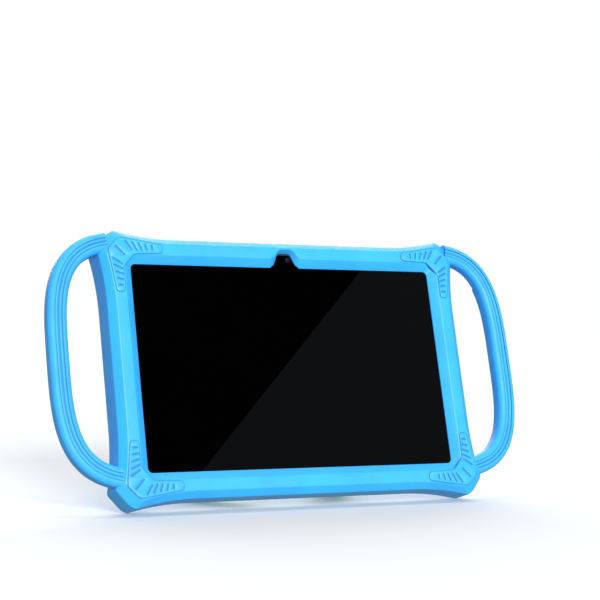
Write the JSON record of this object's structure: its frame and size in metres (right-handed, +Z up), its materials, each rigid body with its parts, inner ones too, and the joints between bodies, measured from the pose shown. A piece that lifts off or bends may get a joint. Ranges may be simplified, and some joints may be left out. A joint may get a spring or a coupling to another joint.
{
  "type": "kids toy tablet",
  "caption": "Small tablet in a chunky bumper with two side handles, push bubbles on the back and a turning ring stand.",
  "frame": {"origin": "middle of the bounding box at the table, under the tablet as it stands on its two lower corners and its open ring", "axes": "+X to the right as the screen is seen, +Y from the screen towards the back, +Z up; the tablet leans back 15.6 degrees"},
  "size_m": [0.2632, 0.112, 0.1384],
  "materials": {
    "bumper_silicone": "soft satin silicone",
    "bubble_silicone": "soft satin silicone",
    "stand_blue": "fine satin",
    "ring_lime": "semi-gloss",
    "steel": "bright",
    "tablet_black": "fine matte",
    "screen_glass": "gloss black",
    "panel_metal": "satin",
    "foil": "satin foil",
    "board_green": "solder mask",
    "lens_glass": "coated",
    "flash_lens": "clear",
    "flex_amber": "satin film",
    "lead_red": "satin"
  },
  "bodies": {
    "case": {"bumper_case": "bumper_silicone", "left_handle": "bumper_silicone", "right_handle": "bumper_silicone", "popper_panel": "bubble_silicone", "stand_base": "stand_blue", "wave_washer": "steel", "rear_shell": "tablet_black", "mid_frame": "tablet_black", "cover_glass": "screen_glass", "lcd_panel": "panel_metal", "battery": "foil", "main_board": "board_green", "shield_cans": "steel", "speaker": "tablet_black", "speaker_mesh": "tablet_black", "front_camera": "tablet_black", "rear_camera": "tablet_black", "rear_lens": "lens_glass", "flash_led": "flash_lens", "camera_plate": "tablet_black", "usb_port": "steel", "headphone_jack": "tablet_black", "display_flex": "flex_amber", "battery_lead": "lead_red", "wifi_antenna": "flex_amber", "tablet_screws": "steel"},
    "stand_turn": {"stand_disc": "stand_blue", "hinge_pins": "steel", "swivel_screw": "steel"},
    "stand_ring": {"stand_ring": "ring_lime"},
    "power_key": {"power_pad": "bumper_silicone", "power_button": "tablet_black"},
    "volume_key": {"volume_pad": "bumper_silicone", "volume_rocker": "tablet_black"},
    "bubble_01": {"bubble_01": "bubble_silicone"},
    "bubble_02": {"bubble_02": "bubble_silicone"},
    "bubble_03": {"bubble_03": "bubble_silicone"},
    "bubble_04": {"bubble_04": "bubble_silicone"},
    "bubble_05": {"bubble_05": "bubble_silicone"},
    "bubble_06": {"bubble_06": "bubble_silicone"},
    "bubble_07": {"bubble_07": "bubble_silicone"},
    "bubble_08": {"bubble_08": "bubble_silicone"},
    "bubble_09": {"bubble_09": "bubble_silicone"},
    "bubble_10": {"bubble_10": "bubble_silicone"},
    "bubble_11": {"bubble_11": "bubble_silicone"},
    "bubble_12": {"bubble_12": "bubble_silicone"},
    "bubble_13": {"bubble_13": "bubble_silicone"},
    "bubble_14": {"bubble_14": "bubble_silicone"},
    "bubble_15": {"bubble_15": "bubble_silicone"},
    "bubble_16": {"bubble_16": "bubble_silicone"},
    "bubble_17": {"bubble_17": "bubble_silicone"},
    "bubble_18": {"bubble_18": "bubble_silicone"},
    "bubble_19": {"bubble_19": "bubble_silicone"},
    "bubble_20": {"bubble_20": "bubble_silicone"},
    "bubble_21": {"bubble_21": "bubble_silicone"},
    "bubble_22": {"bubble_22": "bubble_silicone"}
  },
  "joints": [
    {"name": "stand_swivel", "type": "hinge", "parent": "case", "child": "stand_turn", "pos_m": [0, -0.02154, 0.06063], "axis": [0, 0.9632, -0.2688], "continuous": true},
    {"name": "ring_fold", "type": "hinge", "parent": "stand_turn", "child": "stand_ring", "pos_m": [0, -0.03095, 0.02058], "axis": [1, 0, 0], "range_deg": [0, 87]},
    {"name": "power_press", "type": "slide", "parent": "case", "child": "power_key", "axis": [0, -0.2688, -0.9632], "range_m": [0, 0.0004], "stiffness_N_per_m": 1000},
    {"name": "volume_rock", "type": "hinge", "parent": "case", "child": "volume_key", "pos_m": [0.048, -0.0134, 0.12698], "axis": [0, 0.9632, -0.2688], "range_deg": [-1, 1], "stiffness_Nm_per_rad": 0.2},
    {"name": "bubble_01_press", "type": "slide", "parent": "case", "child": "bubble_01", "axis": [0, -0.9632, 0.2688], "range_m": [0, 0.003]},
    {"name": "bubble_02_press", "type": "slide", "parent": "case", "child": "bubble_02", "axis": [0, -0.9632, 0.2688], "range_m": [0, 0.003]},
    {"name": "bubble_03_press", "type": "slide", "parent": "case", "child": "bubble_03", "axis": [0, -0.9632, 0.2688], "range_m": [0, 0.003]},
    {"name": "bubble_04_press", "type": "slide", "parent": "case", "child": "bubble_04", "axis": [0, -0.9632, 0.2688], "range_m": [0, 0.003]},
    {"name": "bubble_05_press", "type": "slide", "parent": "case", "child": "bubble_05", "axis": [0, -0.9632, 0.2688], "range_m": [0, 0.003]},
    {"name": "bubble_06_press", "type": "slide", "parent": "case", "child": "bubble_06", "axis": [0, -0.9632, 0.2688], "range_m": [0, 0.003]},
    {"name": "bubble_07_press", "type": "slide", "parent": "case", "child": "bubble_07", "axis": [0, -0.9632, 0.2688], "range_m": [0, 0.003]},
    {"name": "bubble_08_press", "type": "slide", "parent": "case", "child": "bubble_08", "axis": [0, -0.9632, 0.2688], "range_m": [0, 0.003]},
    {"name": "bubble_09_press", "type": "slide", "parent": "case", "child": "bubble_09", "axis": [0, -0.9632, 0.2688], "range_m": [0, 0.003]},
    {"name": "bubble_10_press", "type": "slide", "parent": "case", "child": "bubble_10", "axis": [0, -0.9632, 0.2688], "range_m": [0, 0.003]},
    {"name": "bubble_11_press", "type": "slide", "parent": "case", "child": "bubble_11", "axis": [0, -0.9632, 0.2688], "range_m": [0, 0.003]},
    {"name": "bubble_12_press", "type": "slide", "parent": "case", "child": "bubble_12", "axis": [0, -0.9632, 0.2688], "range_m": [0, 0.003]},
    {"name": "bubble_13_press", "type": "slide", "parent": "case", "child": "bubble_13", "axis": [0, -0.9632, 0.2688], "range_m": [0, 0.003]},
    {"name": "bubble_14_press", "type": "slide", "parent": "case", "child": "bubble_14", "axis": [0, -0.9632, 0.2688], "range_m": [0, 0.003]},
    {"name": "bubble_15_press", "type": "slide", "parent": "case", "child": "bubble_15", "axis": [0, -0.9632, 0.2688], "range_m": [0, 0.003]},
    {"name": "bubble_16_press", "type": "slide", "parent": "case", "child": "bubble_16", "axis": [0, -0.9632, 0.2688], "range_m": [0, 0.003]},
    {"name": "bubble_17_press", "type": "slide", "parent": "case", "child": "bubble_17", "axis": [0, -0.9632, 0.2688], "range_m": [0, 0.003]},
    {"name": "bubble_18_press", "type": "slide", "parent": "case", "child": "bubble_18", "axis": [0, -0.9632, 0.2688], "range_m": [0, 0.003]},
    {"name": "bubble_19_press", "type": "slide", "parent": "case", "child": "bubble_19", "axis": [0, -0.9632, 0.2688], "range_m": [0, 0.003]},
    {"name": "bubble_20_press", "type": "slide", "parent": "case", "child": "bubble_20", "axis": [0, -0.9632, 0.2688], "range_m": [0, 0.003]},
    {"name": "bubble_21_press", "type": "slide", "parent": "case", "child": "bubble_21", "axis": [0, -0.9632, 0.2688], "range_m": [0, 0.003]},
    {"name": "bubble_22_press", "type": "slide", "parent": "case", "child": "bubble_22", "axis": [0, -0.9632, 0.2688], "range_m": [0, 0.003]}
  ]
}
